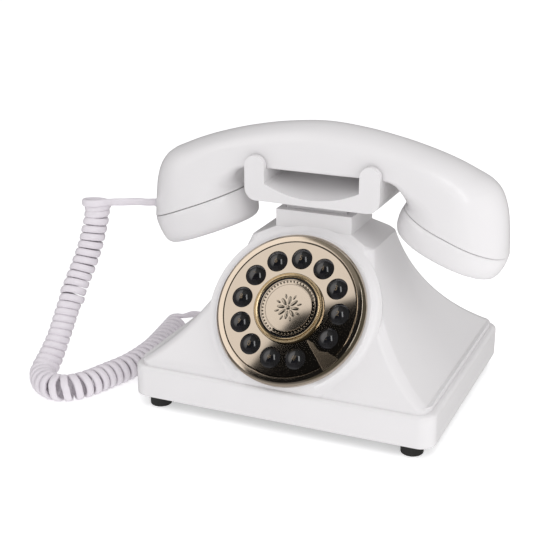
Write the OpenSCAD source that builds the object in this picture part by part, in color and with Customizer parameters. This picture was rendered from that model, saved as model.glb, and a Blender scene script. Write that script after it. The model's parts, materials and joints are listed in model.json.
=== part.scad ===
// Desk telephone in a 1930s style: a flared housing on a rectangular plinth, a round
// push-button dial plate, a sprung four-pronged cradle and a handset on a curly cord.
// Millimetres. The origin is on the desk, under the middle of the phone. The dial faces -Y.

/* [Plinth] */
// Half width of the plinth along X
plinth_hx = 100; // [92:1:112]
// Half depth of the plinth along Y
plinth_hy = 82; // [78:1:92]
// Corner radius of the plinth in plan
plinth_r = 10; // [6:1:16]
// Height of the rubber feet under the plinth
foot_h = 8; // [5:0.5:12]
// Height of the plinth's upright side
plinth_h = 21; // [18:1:28]
// How far the groove above the plinth is set in
groove_in = 4; // [2:0.5:5]
// Height of the groove
groove_h = 2.5; // [1.5:0.5:4]
// Wall thickness of the housing
wall = 3; // [2:0.5:4]

/* [Housing] */
// Half width of the housing at the shoulder
shoulder_hx = 41.3; // [38:0.1:46]
// Half depth of the housing at the shoulder
shoulder_hy = 26.5; // [24:0.5:30]
// Height of the shoulder above the desk
shoulder_z = 106.5; // [100:0.5:114]
// Radius of the concave flare on the sides and the back
flare_r = 130; // [115:1:170]
// Half width of the neck
neck_hx = 25.5; // [24.5:0.5:30]
// Half depth of the neck
neck_hy = 20; // [19:0.5:22]
// Height at which the neck leaves the shoulder
neck_z = 113.4; // [110:0.1:118]
// Height of the neck's top face
neck_top = 124.8; // [122:0.1:130]

/* [Dial] */
// Angle by which the dial leans back from upright
dial_tilt = 35.5; // [30:0.5:40]
// Distance of the dial's centre in front of the phone's middle
dial_y = 57.6; // [55:0.1:60]
// Height of the dial's centre above the desk
dial_z = 73.5; // [71:0.1:76]
// Outside radius of the dial's metal rim
dial_r = 48.5; // [46:0.5:50]
// Radius of the ring of buttons
ring_r = 32.2; // [31:0.1:33]
// Angle from one button to the next
button_pitch = 28.85; // [28:0.05:29.5]
// Direction of button 1, measured from the +X side
button_start = -26.8; // [-30:0.1:-24]
// Radius of a button's dome
button_r = 6.3; // [5.5:0.1:6.6]
// Height of a button's dome above the plate
button_dome = 2.7; // [2:0.1:3.5]
// Travel of a button
button_travel = 1.5; // [1:0.1:2]
// Running gap around a button
button_gap = 0.15; // [0.1:0.05:0.3]
// Outside radius of the raised ring in the middle
boss_r = 22.3; // [21:0.1:23]
// Radius of the medallion inside the raised ring
medal_r = 19; // [17.5:0.1:19.5]

/* [Cradle] */
// Half width of the cradle over its prongs
cradle_hx = 45; // [42:0.5:48]
// Half depth of the cradle over its prongs
cradle_hy = 25.5; // [24:0.5:28]
// Height of the cradle's underside
cradle_z = 130; // [128.5:0.5:133]
// Height of the saddles that the handset lies on
saddle_z = 150; // [147:0.5:153]
// Height of the prong tips
prong_z = 159; // [156:0.5:163]
// Width of a prong
prong_w = 13.4; // [11:0.2:15]
// Thickness of a prong from front to back
prong_t = 4.2; // [3:0.2:4.8]
// Travel of the cradle when the handset is lifted
hook_travel = 4; // [3:0.5:4.5]

/* [Handset] */
// Half length of the handset
hand_hx = 121.5; // [116:0.5:130]
// Half width of the grip
grip_hy = 20; // [17:0.5:20.5]
// Half width of the two ends
end_hy = 27; // [24:0.5:30]
// Height of the handset's top when it lies on the cradle
hand_top = 179; // [175:0.5:184]
// Radius of the arch along the handset's top
arch_r = 245; // [220:5:280]
// Radius of the handset's long upper edges
hand_edge = 12; // [6:1:16]
// Corner radius of the handset's ends in plan
end_r = 24; // [14:1:26]
// Gap between the handset and the saddles
rest_gap = 0.3; // [0.2:0.05:0.5]
// Wall thickness of the handset
hand_wall = 2.5; // [2:0.25:3]

/* [Cord] */
// Diameter of the handset cord
cord_d = 4; // [3.6:0.1:4.4]
// Outside diameter of the curly part
coil_d = 18; // [15:0.1:19]

/* [Hidden] */
$fn = 64;
eps = 0.01;
plinth_top = foot_h + plinth_h;
tower_z = plinth_top + groove_h;
tower_hx = plinth_hx - 5;
tower_hy = plinth_hy - 2.4;
// the flare's arc runs from the shoulder's edge to the foot of the tower; this is its centre
flare_run = tower_hx - shoulder_hx;
flare_rise = shoulder_z - tower_z;
flare_chord = norm([flare_run, flare_rise]);
flare_off = sqrt(flare_r * flare_r - flare_chord * flare_chord / 4);
flare_cx = (tower_hx + shoulder_hx) / 2 + flare_off * flare_rise / flare_chord;
flare_cz = (shoulder_z + tower_z) / 2 + flare_off * flare_run / flare_chord;
flare_cy = flare_cx - (shoulder_hx - shoulder_hy);
roof_slope_x = (neck_z - shoulder_z) / (shoulder_hx - neck_hx);
roof_slope_y = (neck_z - shoulder_z) / (shoulder_hy - neck_hy);
// levels along the dial's own axis; 0 is the widest edge of the rim
panel_level = (dial_y - shoulder_hy) * -cos(dial_tilt) + (shoulder_z - dial_z) * sin(dial_tilt);
collar_level = -3;
plate_bottom = 0.5;
plate_top = 2;
boss_top = 5.5;
medal_top = 4.6;
plate_r = dial_r - 4;
collar_r = dial_r + 2;
collar_root_r = dial_r + 6.5;
frame_r = plate_r - 1.1;
frame_gap = 0.3;
frame_t = 2;
flange_level = panel_level - wall;
lug_r = dial_r - 1;
lug_angles = [40, 140, 220, 320];
board_t = 1.6;
membrane_t = 1;
nub_top = -4.8;
screw_r = 1.3;
screw_gap = 0.05;
// the collar stops in line with the tower's foot
collar_front = -tower_hy - 0.4;
// handset jack and line jack, in the plinth's side and back walls
jack_z = foot_h + 10;
jack_y = 36;
jack_w = 13;
jack_h = 12;
jack_depth = 15;
socket_w = 8;
socket_h = 6.6;
line_x = 40;
switch_x = -40;
switch_travel = 3;
cover_t = 2;
cover_gap = 0.3;
boss_x = 62;
boss_y = 70;
boss_rad = 4;
foot_x = plinth_hx - 15;
foot_y = plinth_hy - 11;
foot_r = 7;
board_z = foot_h + 16;
board_c = [0, 35];
board_size = [104, 56];
post_inset = 5;
speaker_c = [-52, -32];
speaker_r = 20;
// the stem slides in the neck's top; its flange stops it under the ceiling
stem_hx = 16;
stem_hy = 12;
pedestal_hx = 20.1;
pedestal_hy = 14.6;
slide_gap = 0.4;
ceiling_z = neck_top - wall;
stem_flange_t = 2.5;
stem_flange_z = ceiling_z - hook_travel - 0.3 - stem_flange_t;
stem_bottom = stem_flange_z - 12;
// two screws come up through the stem into the cradle, one on each side of the spring
stem_screw_x = 12;
stem_screw_y = 7;
stem_screw_z = stem_flange_z + 5;
arm_x = pedestal_hx + slide_gap + 0.2;
arm_t = neck_hx - wall - 0.3 - arm_x;
bracket_z = stem_bottom - 14;
bracket_t = 2;
spring_r = 4.5;
spring_wire = 0.9;
// handset outline, one end; all places follow its half length and its rest height
under_z = saddle_z + rest_gap;
end_in = hand_hx - 64.5;
seam_in = [end_in, under_z - 24];
seam_out = [hand_hx, under_z - 43];
seam_tilt = atan2(seam_in[1] - seam_out[1], seam_out[0] - seam_in[0]);
seam_gap = 0.15;
end_cx = (end_in + hand_hx) / 2;
end_bottom_c = [end_cx + 0.5, under_z - 52];
exit_z = saddle_z - 37.5;
plug_len = 9;
// how far a plug's boot stands out of its jack, and its whole length
boot_out = 1.5;
boot_len = boot_out + 2;
// routes of the cord's straight ends and the axis of its curly part, point by point
lead_route = [[-hand_hx - boot_out, 0, exit_z], [-128, -4.5, 113], [-134, -9, 114],
    [-140, -13.5, 115], [-146, -17, 116]];
coil_route = [[-158, -20, 117], [-158, -21, 106], [-159, -24, 96], [-160, -28, 86],
    [-162, -34, 74], [-164, -41, 63], [-165, -49, 52], [-166, -56, 41], [-167, -63, 30],
    [-168, -69, 22], [-169, -75, 15], [-169, -81, 11], [-165, -87, 9.4], [-159, -92, 9.2],
    [-151, -95, 9.2], [-144, -94, 9.2], [-138, -89, 9.2], [-133, -80, 9.2], [-130, -71, 9.2],
    [-127, -62, 9.2], [-124, -53, 9.2], [-122, -43, 9.2], [-121, -30, 9.2], [-121, -16, 9.2],
    [-123, 0, 9.2], [-125, 13, 9.2], [-127, 26, 9.2]];
tail_route = [[-127, 26, 14], [-126.5, 30, 16.2], [-124, 33, 17.2], [-119, 35, 17.5],
    [-113, jack_y, jack_z], [-plinth_hx - boot_out, jack_y, jack_z]];

BUTTONS = ["button_1", "button_2", "button_3", "button_4", "button_5", "button_6", "button_7",
    "button_8", "button_9", "button_0", "button_star", "button_hash"];

// ---- shared shapes ----

// a block with four round upright corners, from z0 to z1
module round_block(hx, hy, r, z0, z1) {
    translate([0, 0, z0]) linear_extrude(z1 - z0) {
        square([2 * (hx - r), 2 * hy], center = true);
        square([2 * hx, 2 * (hy - r)], center = true);
        for (sx = [-1, 1], sy = [-1, 1])
            translate([sx * (hx - r), sy * (hy - r)]) circle(r);
    }
}

// a plain block given by its lowest and highest corners
module block(lo, hi) {
    translate(lo) cube(hi - lo);
}

// puts its children in the dial's own frame: z out of the dial, y up its face
module at_dial() {
    translate([0, -dial_y, dial_z]) rotate([90 - dial_tilt, 0, 0]) children();
}

// the place of one button on the ring
module at_button(i) {
    a = button_start + i * button_pitch;
    at_dial() translate([ring_r * cos(a), ring_r * sin(a), 0]) children();
}

function unit(v) = v / norm(v);

// a point on the smooth curve between p1 and p2
function curve_point(p0, p1, p2, p3, t) = 0.5 * (2 * p1 + (p2 - p0) * t
    + (2 * p0 - 5 * p1 + 4 * p2 - p3) * t * t + (3 * p1 - p0 - 3 * p2 + p3) * t * t * t);

// a smooth curve through the route's points, with steps places on each stretch
function smooth(pts, steps) = let (n = len(pts)) concat(
    [for (i = [0:n - 2], k = [0:steps - 1]) curve_point(pts[max(i - 1, 0)], pts[i], pts[i + 1],
        pts[min(i + 2, n - 1)], k / steps)], [pts[n - 1]]);

function tangents(path) = let (n = len(path))
    [for (i = [0:n - 1]) unit(path[min(i + 1, n - 1)] - path[max(i - 1, 0)])];

// side vectors carried along the path without twist
function sides(dirs, i, last) = i == len(dirs) ? [] :
    let (s = unit(last - (last * dirs[i]) * dirs[i])) concat([s], sides(dirs, i + 1, s));

// a tube along a path: one ring of points at each place, closed at both ends
module tube(path, r, count) {
    dirs = tangents(path);
    across = sides(dirs, 0, unit(cross(dirs[0], [0.2, 0.3, 0.9])));
    n = len(path);
    points = [for (i = [0:n - 1], k = [0:count - 1]) let (a = 360 * k / count)
        path[i] + r * (cos(a) * across[i] + sin(a) * cross(dirs[i], across[i]))];
    skin = [for (i = [0:n - 2], k = [0:count - 1])
        [i * count + k, (i + 1) * count + k, (i + 1) * count + (k + 1) % count,
            i * count + (k + 1) % count]];
    start_cap = [[for (k = [0:count - 1]) k]];
    end_cap = [[for (k = [count - 1:-1:0]) (n - 1) * count + k]];
    polyhedron(points, concat(skin, start_cap, end_cap));
}

// ---- housing ----

// the flared part above the plinth, with its roof; inset moves every face inwards
module tower(inset) {
    high = neck_z - inset;
    far = 3 * plinth_hx;
    difference() {
        intersection() {
            block([-tower_hx + inset, -tower_hy + inset, plinth_top - 1],
                [tower_hx - inset, tower_hy - inset, neck_z]);
            rotate([90, 0, 0]) linear_extrude(far, center = true) polygon([
                [-far, high - (far - neck_hx) * roof_slope_x], [-neck_hx, high], [neck_hx, high],
                [far, high - (far - neck_hx) * roof_slope_x], [far, -far], [-far, -far]]);
            rotate([90, 0, 90]) linear_extrude(far, center = true) polygon([
                [-far, high - (far - neck_hy) * roof_slope_y], [-neck_hy, high], [neck_hy, high],
                [far, high - (far - neck_hy) * roof_slope_y], [far, -far], [-far, -far]]);
        }
        for (s = [-1, 1])
            translate([s * flare_cx, 0, flare_cz]) rotate([90, 0, 0])
                cylinder(r = flare_r + inset, h = far, center = true, $fn = 128);
        translate([0, flare_cy, flare_cz]) rotate([0, 90, 0])
            cylinder(r = flare_r + inset, h = far, center = true, $fn = 128);
        at_dial() translate([-far, -far, panel_level - inset]) cube(2 * far);
    }
}

// the whole housing without its openings
module housing_outside() {
    round_block(plinth_hx, plinth_hy, plinth_r, foot_h, plinth_top);
    round_block(plinth_hx - groove_in, plinth_hy - groove_in, plinth_r - groove_in / 2,
        plinth_top - 1, tower_z + 0.5);
    intersection() {
        tower(0);
        round_block(tower_hx, tower_hy, plinth_r - groove_in / 2, plinth_top - 1, neck_z);
    }
    round_block(neck_hx, neck_hy, 2, shoulder_z - 10, neck_top);
    intersection() {
        at_dial() translate([0, 0, panel_level - wall / 2])
            cylinder(r1 = collar_root_r, r2 = collar_r, h = collar_level - panel_level + wall / 2);
        block([-plinth_hx, collar_front, foot_h + 10], [plinth_hx, -neck_hy + 1, neck_top]);
    }
}

module housing_inside() {
    round_block(plinth_hx - wall, plinth_hy - wall, plinth_r - wall, foot_h - 1,
        plinth_top - wall);
    round_block(plinth_hx - groove_in - wall, plinth_hy - groove_in - wall, plinth_r - groove_in,
        plinth_top - wall - 1, plinth_top + 1);
    tower(wall);
    block([-neck_hx + wall, -neck_hy + wall, shoulder_z - 12],
        [neck_hx - wall, neck_hy - wall, ceiling_z]);
}

module screw_bosses() {
    intersection() {
        for (sx = [-1, 1], sy = [-1, 1])
            translate([sx * boss_x, sy * boss_y, foot_h + cover_t])
                cylinder(r = boss_rad, h = 34);
        housing_outside();
    }
}

module housing() color("#e4e2e3") {
    difference() {
        union() {
            difference() {
                housing_outside();
                housing_inside();
            }
            screw_bosses();
        }
        at_dial() translate([0, 0, flange_level - 6])
            cylinder(r = frame_r + frame_gap, h = 30, $fn = 96);
        at_dial() for (a = lug_angles)
            translate([lug_r * cos(a), lug_r * sin(a), flange_level - eps])
                cylinder(r = screw_r + screw_gap, h = 5);
        for (sx = [-1, 1], sy = [-1, 1])
            translate([sx * boss_x, sy * boss_y, foot_h]) cylinder(r = screw_r + screw_gap, h = 13);
        block([-pedestal_hx - slide_gap, -pedestal_hy - slide_gap, ceiling_z - 1],
            [pedestal_hx + slide_gap, pedestal_hy + slide_gap, neck_top + 1]);
        // openings for the two jacks and the ringer switch
        block([-plinth_hx - 1, jack_y - jack_w / 2 - 0.2, jack_z - jack_h / 2 - 0.2],
            [-plinth_hx + wall + 1, jack_y + jack_w / 2 + 0.2, jack_z + jack_h / 2 + 0.2]);
        block([line_x - jack_w / 2 - 0.2, plinth_hy - wall - 1, jack_z - jack_h / 2 - 0.2],
            [line_x + jack_w / 2 + 0.2, plinth_hy + 1, jack_z + jack_h / 2 + 0.2]);
        block([switch_x - 7, plinth_hy - wall - 1, jack_z - 2.5],
            [switch_x + 7, plinth_hy + 1, jack_z + 2.5]);
    }
}

module bottom_cover() color("#2a2a2c") {
    hx = plinth_hx - wall - cover_gap;
    hy = plinth_hy - wall - cover_gap;
    difference() {
        union() {
            round_block(hx, hy, plinth_r - wall, foot_h, foot_h + cover_t);
            for (sx = [-1, 1], sy = [-1, 1])
                translate([board_c[0] + sx * (board_size[0] / 2 - post_inset),
                    board_c[1] + sy * (board_size[1] / 2 - post_inset), foot_h])
                    cylinder(r = 3, h = board_z - foot_h);
        }
        for (sx = [-1, 1], sy = [-1, 1]) {
            translate([sx * boss_x, sy * boss_y, foot_h - 1])
                cylinder(r = screw_r + 0.25, h = cover_t + 2);
            translate([sx * foot_x, sy * foot_y, foot_h - 1]) cylinder(r = 2.5, h = cover_t + 2);
        }
        for (k = [0:5])
            translate([speaker_c[0] + 9 * cos(60 * k), speaker_c[1] + 9 * sin(60 * k), foot_h - 1])
                cylinder(r = 1.5, h = cover_t + 2);
    }
}

module case_screws() color("#8d8f92") {
    for (sx = [-1, 1], sy = [-1, 1])
        translate([sx * boss_x, sy * boss_y, foot_h]) {
            translate([0, 0, -2]) cylinder(r = 2.8, h = 2);
            cylinder(r = screw_r, h = 12);
        }
}

module rubber_feet() color("#141414") {
    for (sx = [-1, 1], sy = [-1, 1])
        translate([sx * foot_x, sy * foot_y, 0]) {
            cylinder(r = foot_r, h = foot_h);
            cylinder(r = 2.4, h = foot_h + cover_t);
        }
}

module base_weight() color("#6b6e72") {
    block([-22, -56, foot_h + cover_t], [72, -8, foot_h + cover_t + 5]);
}

module main_board() color("#2f6b3a") {
    translate([board_c[0], board_c[1], board_z]) {
        block([-board_size[0] / 2, -board_size[1] / 2, 0],
            [board_size[0] / 2, board_size[1] / 2, board_t]);
        block([-20, -8, board_t - eps], [-4, 8, board_t + 2.5]);
        block([12, -12, board_t - eps], [30, 4, board_t + 7]);
        for (k = [0:3]) translate([-40 + 9 * k, 18, board_t - eps]) cylinder(r = 3, h = 9);
    }
}

module ringer_speaker() color("#3a3a3d") {
    translate([speaker_c[0], speaker_c[1], foot_h + cover_t]) difference() {
        union() {
            cylinder(r = speaker_r, h = 3);
            cylinder(r1 = speaker_r - 3, r2 = 11, h = 9);
            cylinder(r = 10, h = 14);
        }
        translate([0, 0, -1]) cylinder(r = speaker_r - 5, h = 2.5);
    }
}

// a jack body whose mouth faces +X from x = 0, open for depth
module jack_body(depth) {
    difference() {
        block([-jack_depth, -jack_w / 2, -jack_h / 2], [0, jack_w / 2, jack_h / 2]);
        block([-depth, -socket_w / 2, -socket_h / 2], [1, socket_w / 2, socket_h / 2]);
    }
}

module line_jack() color("#1c1c1e") {
    translate([line_x, plinth_hy - 0.5, jack_z]) rotate([0, 0, 90]) jack_body(11);
}

module base_handset_jack() color("#1c1c1e") {
    translate([-plinth_hx + 0.5, jack_y, jack_z]) rotate([0, 0, 180]) jack_body(11);
}

module ringer_switch_body() color("#1c1c1e") {
    difference() {
        block([switch_x - 9, plinth_hy - wall - 6, jack_z - 4],
            [switch_x + 9, plinth_hy - wall, jack_z + 4]);
        block([switch_x - 6, plinth_hy - wall - 4, jack_z - 2],
            [switch_x + 6, plinth_hy - wall + 1, jack_z + 2]);
    }
}

module ringer_switch_knob() color("#141414") {
    block([switch_x - switch_travel / 2 - 2.5, plinth_hy - wall - 3.7, jack_z - 1.8],
        [switch_x - switch_travel / 2 + 2.5, plinth_hy + 1.2, jack_z + 1.8]);
}

// ---- dial ----

module dial_rim() color("#b8a98c") {
    at_dial() rotate_extrude($fn = 128) polygon([
        [plate_r - 0.9, collar_level], [dial_r - 0.6, collar_level], [dial_r, collar_level + 0.6],
        [dial_r, 0], [dial_r - 2.2, 1.9], [plate_r + 0.8, 2.1], [plate_r + 0.1, 1.5],
        [plate_r + 0.1, plate_bottom], [plate_r - 0.9, plate_bottom]]);
}

module dial_plate() color("#c6b9a2") {
    difference() {
        at_dial() translate([0, 0, plate_bottom])
            cylinder(r = plate_r, h = plate_top - plate_bottom, $fn = 128);
        for (i = [0:11]) at_button(i) cylinder(r = button_r + button_gap, h = 6, $fn = 48);
    }
}

module centre_ring() color("#b0935a") {
    at_dial() rotate_extrude($fn = 96) polygon([
        [medal_r + 0.1, plate_top], [boss_r, plate_top], [boss_r, boss_top - 1],
        [boss_r - 0.9, boss_top], [medal_r + 0.9, boss_top], [medal_r + 0.1, boss_top - 0.7]]);
}

module medallion() color("#c9bda8") {
    at_dial() translate([0, 0, plate_top]) cylinder(r = medal_r, h = medal_top - plate_top, $fn = 96);
}

// a raised wedge between the last button and button 1
module finger_stop() color("#8f8064") {
    lower = button_start - 21.5;
    upper = button_start - 7.5;
    reach = dial_r - 2.2;
    start = boss_r + 2;
    at_dial() difference() {
        translate([0, 0, plate_top + 0.2]) linear_extrude(1.3) polygon([
            start * [cos(lower), sin(lower)], reach * [cos(lower), sin(lower)],
            (reach + 0.4) * [cos((lower + upper) / 2), sin((lower + upper) / 2)],
            reach * [cos(upper), sin(upper)], (start + 0.8) * [cos(lower + 3.5), sin(lower + 3.5)]]);
        translate([ring_r * cos(button_start), ring_r * sin(button_start), 0])
            cylinder(r = button_r + 2.6, h = 6);
    }
}

module keypad_frame() color("#1d1d1f") {
    at_dial() difference() {
        union() {
            translate([0, 0, flange_level - frame_t])
                cylinder(r = frame_r, h = plate_bottom - flange_level + frame_t, $fn = 96);
            translate([0, 0, flange_level - frame_t])
                cylinder(r = frame_r + 2, h = frame_t, $fn = 96);
            for (a = lug_angles) translate([lug_r * cos(a), lug_r * sin(a), flange_level - frame_t])
                cylinder(r = 3.4, h = frame_t);
        }
        translate([0, 0, flange_level]) cylinder(r = frame_r - frame_t, h = 30, $fn = 96);
        for (a = lug_angles) translate([lug_r * cos(a), lug_r * sin(a), flange_level - 5])
            cylinder(r = screw_r + 0.2, h = 10);
    }
}

module keypad_board() color("#2f6b3a") {
    at_dial() translate([0, 0, flange_level])
        cylinder(r = frame_r - frame_t - 0.2, h = board_t, $fn = 96);
}

module keypad_membrane() color("#5c5c60") {
    low = flange_level + board_t;
    at_dial() translate([0, 0, low])
        cylinder(r = frame_r - frame_t - 0.4, h = membrane_t, $fn = 96);
    for (i = [0:11]) at_button(i) translate([0, 0, low]) cylinder(r = 3, h = nub_top - low, $fn = 32);
}

module dial_screws() color("#8d8f92") {
    at_dial() for (a = lug_angles) translate([lug_r * cos(a), lug_r * sin(a), 0]) {
        translate([0, 0, flange_level - frame_t - 1.6]) cylinder(r = 2.6, h = 1.6);
        translate([0, 0, flange_level - frame_t]) cylinder(r = screw_r, h = 6);
    }
}

// one push button: a dome, its shank through the plate and a flange that keeps it in
module button(i) color("#101012") {
    dome_r = (button_r * button_r + button_dome * button_dome) / (2 * button_dome);
    at_button(i) {
        intersection() {
            translate([0, 0, plate_top + button_dome - dome_r]) sphere(dome_r, $fn = 96);
            translate([0, 0, plate_top]) cylinder(r = button_r, h = button_dome + 1, $fn = 48);
        }
        translate([0, 0, nub_top + button_travel + 0.2])
            cylinder(r = button_r, h = plate_top - nub_top - button_travel - 0.2, $fn = 48);
        translate([0, 0, plate_bottom - 1.3]) cylinder(r = button_r + 0.9, h = 1.2, $fn = 48);
    }
}

// ---- cradle ----

module cradle() color("#e2e0e1") {
    corner = 8;
    post_in = cradle_hx - prong_w;
    dish_r = 69;
    lip = 4.2;
    difference() {
        union() {
            // the tray and the two saddles, as one outline from the front
            rotate([90, 0, 0]) linear_extrude(2 * cradle_hy, center = true) {
                translate([-cradle_hx + corner, cradle_z]) square([2 * (cradle_hx - corner), 8]);
                translate([-cradle_hx, cradle_z + corner]) square([2 * cradle_hx, 2.5]);
                for (s = [-1, 1]) {
                    translate([s * (cradle_hx - corner), cradle_z + corner]) circle(corner);
                    translate([s * (cradle_hx - prong_w / 2) - prong_w / 2, cradle_z + corner])
                        square([prong_w, saddle_z - cradle_z - corner]);
                }
            }
            for (sx = [-1, 1], sy = [-1, 1])
                translate([sx * (cradle_hx - prong_w / 2), sy * (cradle_hy - prong_t / 2), 0])
                    rotate([90, 0, 0]) linear_extrude(prong_t, center = true) {
                        translate([-prong_w / 2, saddle_z - 4])
                            square([prong_w, prong_z - prong_w / 2 - saddle_z + 4]);
                        translate([0, prong_z - prong_w / 2]) circle(prong_w / 2);
                    }
        }
        // the dish sags between the saddles
        intersection() {
            translate([0, 0, cradle_z + lip + dish_r]) rotate([90, 0, 0])
                cylinder(r = dish_r, h = 3 * cradle_hy, center = true, $fn = 128);
            block([-post_in, -2 * cradle_hy, cradle_z], [post_in, 2 * cradle_hy, saddle_z]);
        }
        for (s = [-1, 1]) translate([s * stem_screw_x, s * stem_screw_y, cradle_z - 1])
            cylinder(r = screw_r + screw_gap, h = 5);
    }
}

module cradle_stem() color("#cfcdce") {
    difference() {
        union() {
            block([-pedestal_hx, -pedestal_hy, stem_flange_z + stem_flange_t],
                [pedestal_hx, pedestal_hy, cradle_z]);
            block([-stem_hx, -stem_hy, stem_bottom], [stem_hx, stem_hy, stem_flange_z + 3]);
        }
        for (s = [-1, 1]) translate([s * stem_screw_x, s * stem_screw_y, 0]) {
            translate([0, 0, stem_bottom - 1]) cylinder(r = 2.9, h = stem_screw_z - stem_bottom + 1);
            translate([0, 0, stem_screw_z - 1]) cylinder(r = screw_r + 0.25, h = cradle_z);
        }
        translate([0, 0, stem_bottom - 1]) cylinder(r = spring_r + 1.4, h = 7);
    }
    // ears that stop the stem under the ceiling, front and back
    for (s = [-1, 1])
        block([-stem_hx, s > 0 ? stem_hy - eps : -stem_hy - 4.2, stem_flange_z],
            [stem_hx, s > 0 ? stem_hy + 4.2 : -stem_hy + eps, stem_flange_z + stem_flange_t]);
}

module cradle_screws() color("#8d8f92") {
    for (s = [-1, 1]) translate([s * stem_screw_x, s * stem_screw_y, 0]) {
        translate([0, 0, stem_screw_z]) cylinder(r = screw_r, h = cradle_z + 3.5 - stem_screw_z);
        translate([0, 0, stem_screw_z - 1.6]) cylinder(r = 2.6, h = 1.6);
    }
}

module hook_bracket() color("#9a9ca0") {
    for (s = [-1, 1])
        block([s > 0 ? arm_x : -arm_x - arm_t, -8, bracket_z],
            [s > 0 ? arm_x + arm_t : -arm_x, 8, ceiling_z]);
    block([-arm_x - eps, -8, bracket_z], [arm_x + eps, 8, bracket_z + bracket_t]);
}

module hook_spring() color("#b5b7ba") {
    low = bracket_z + bracket_t + spring_wire;
    high = stem_bottom + 6 - spring_wire;
    turns = 5;
    places = 60;
    tube([for (i = [0:places]) let (a = 360 * turns * i / places)
        [spring_r * cos(a), spring_r * sin(a), low + (high - low) * i / places]],
        spring_wire / 2, 6);
}

module hook_switch() color("#1c1c1e") {
    block([7.5, -4, bracket_z + bracket_t], [16, 4, bracket_z + bracket_t + 8]);
    block([9, -2, bracket_z + bracket_t + 8 - eps], [11, 2, stem_bottom - 0.3]);
}

// ---- handset ----

// side outline of one end; inset moves it inwards
function end_outline(inset) = [
    [end_in - 5 + 2 * inset, under_z + inset / 2], [end_in + 1.5 + inset, under_z - 7],
    [end_in + inset, under_z - 36 + inset / 2], [end_in + 4 + inset, under_z - 44 + inset],
    [end_in + 15, under_z - 50.5 + inset], [hand_hx - 12, under_z - 54.5 + inset],
    [hand_hx - 4 - inset / 2, under_z - 52.5 + inset], [hand_hx - inset, under_z - 42],
    [hand_hx - 1 - inset, under_z - 26], [hand_hx - 5 - inset, under_z],
    [hand_hx - 10 - inset, hand_top + 10], [end_in - 5 + 2 * inset, hand_top + 10]];

// everything under the handset's arched back, which is half wide on each side
module arch(half, inset) {
    deep = arch_r / 2;
    edge = hand_edge - inset;
    translate([0, 0, hand_top - arch_r]) rotate([90, 0, 0]) rotate_extrude($fn = 256)
        translate([arch_r - inset, 0]) {
            translate([-deep, -half + inset + edge]) square([deep, 2 * (half - inset - edge)]);
            translate([-deep, -half + inset]) square([deep - edge, 2 * (half - inset)]);
            for (s = [-1, 1]) translate([-edge, s * (half - inset - edge)]) circle(edge);
        }
}

// the handset as one solid; inset gives its cavity
module handset_form(inset) {
    intersection() {
        block([-end_in - 6, -grip_hy, under_z + inset], [end_in + 6, grip_hy, hand_top]);
        arch(grip_hy, inset);
    }
    for (s = [0, 1]) mirror([s, 0, 0]) intersection() {
        rotate([90, 0, 0]) linear_extrude(2 * end_hy, center = true) polygon(end_outline(inset));
        translate([end_cx - 1, 0, 0]) round_block((hand_hx - end_in) / 2 + 1 - inset,
            end_hy - inset, end_r - inset, under_z - 60, hand_top + 10);
        arch(end_hy, inset);
    }
}

// everything under one end's seam, from down below it; raise shifts the seam up
module under_seam(raise) {
    translate([seam_in[0], 0, seam_in[1] + raise]) rotate([0, seam_tilt, 0])
        block([-20, -60, -60], [90, 60, 0]);
}

module handset_shell() color("#e3e1e2") {
    difference() {
        handset_form(0);
        handset_form(hand_wall);
        for (s = [0, 1]) mirror([s, 0, 0]) under_seam(0);
        // the underside of the grip is closed by its own cover
        block([-grip_len, -grip_hy + hand_wall + 1, under_z - 1],
            [grip_len, grip_hy - hand_wall - 1, under_z + hand_wall + 1]);
        // mouth of the cord jack
        block([-hand_hx - 2, -socket_w / 2, exit_z - socket_h / 2],
            [-hand_hx + 6, socket_w / 2, exit_z + socket_h / 2]);
    }
}
grip_len = end_in - 12;

module grip_cover() color("#dddbdc") {
    block([-grip_len + 0.2, -grip_hy + hand_wall + 1.2, under_z],
        [grip_len - 0.2, grip_hy - hand_wall - 1.2, under_z + hand_wall]);
}

// a cup that closes one end below its seam
module end_cap(holes, hole_ring) {
    difference() {
        intersection() {
            handset_form(0);
            under_seam(-seam_gap);
        }
        handset_form(hand_wall);
        translate([end_bottom_c[0], 0, end_bottom_c[1]]) rotate([0, 6, 0]) for (k = [0:holes - 1])
            translate([hole_ring * cos(360 * k / holes), hole_ring * sin(360 * k / holes), 0])
                cylinder(r = 1.2, h = 20, center = true, $fn = 24);
    }
}

module earpiece_cap() color("#e3e1e2") {
    end_cap(7, 9);
}

module mouthpiece_cap() color("#e3e1e2") {
    mirror([1, 0, 0]) end_cap(5, 5);
}

module earpiece_receiver() color("#4a4a4e") {
    translate([end_bottom_c[0], 0, end_bottom_c[1] + 3]) rotate([0, 6, 0]) {
        cylinder(r = 17, h = 6);
        cylinder(r = 9, h = 10);
    }
}

module microphone() color("#4a4a4e") {
    translate([-end_bottom_c[0], 0, end_bottom_c[1] + 3]) rotate([0, -6, 0]) {
        cylinder(r = 9, h = 3);
        cylinder(r = 5, h = 8);
    }
}

module handset_weight() color("#6b6e72") {
    block([-32, -9, under_z + hand_wall], [32, 9, under_z + hand_wall + 9]);
}

module handset_jack() color("#1c1c1e") {
    translate([-hand_hx + hand_wall + 1.5, 0, exit_z]) difference() {
        block([0, -6, -5], [11, 6, 5]);
        block([-1, -socket_w / 2, -socket_h / 2], [8, socket_w / 2, socket_h / 2]);
    }
}

module handset_screws() color("#8d8f92") {
    for (s = [-1, 1]) translate([s * (grip_len - 5), 0, under_z + hand_wall])
        cylinder(r = 2.4, h = 1.8);
}

// ---- cord ----

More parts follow.
